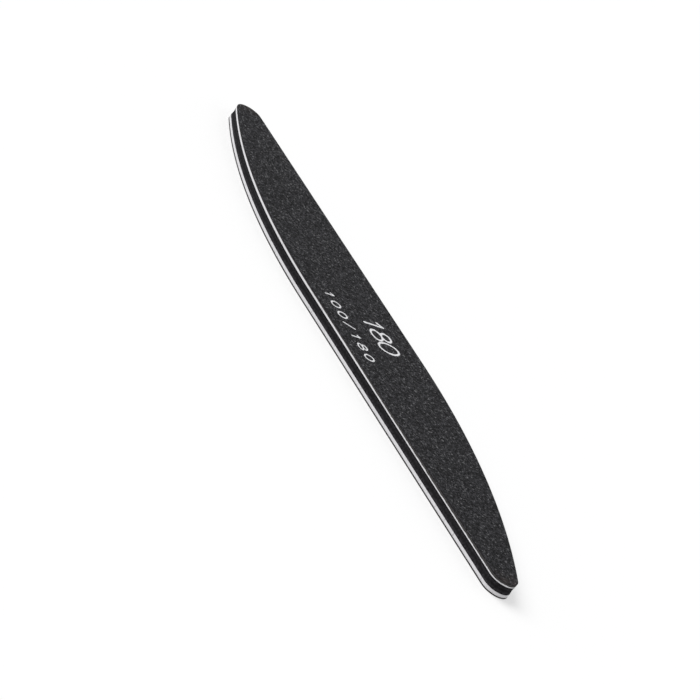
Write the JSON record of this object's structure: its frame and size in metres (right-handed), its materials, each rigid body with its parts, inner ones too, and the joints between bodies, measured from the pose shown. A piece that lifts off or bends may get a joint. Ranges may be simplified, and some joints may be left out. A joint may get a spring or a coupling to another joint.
{
  "type": "emery board",
  "caption": "Padded double-sided emery board: a flat leaf-shaped laminate with black abrasive faces, white stiffeners and a black foam core.",
  "frame": {"origin": "centre of the back abrasive face, which is also the centre of the bounding box's bottom", "axes": "+X along the board from one tip to the other; +Z out of the front abrasive face; +Y across the board"},
  "size_m": [0.178, 0.028, 0.004],
  "materials": {
    "abrasive": "matt black mineral grains set in dark resin",
    "backing_paper": "dark latex paper, cut edge",
    "adhesive": "translucent cream adhesive film",
    "white_plastic": "satin white sheet with fine slanted marks on its cut edge",
    "black_foam": "matt black closed-cell foam"
  },
  "bodies": {
    "root": {"back_grit_coat": "abrasive", "back_backing_paper": "backing_paper", "back_adhesive_film": "adhesive", "back_stiffener": "white_plastic", "back_core_film": "adhesive", "foam_core": "black_foam", "front_core_film": "adhesive", "front_stiffener": "white_plastic", "front_adhesive_film": "adhesive", "front_backing_paper": "backing_paper", "front_grit_coat": "abrasive"}
  },
  "joints": []
}
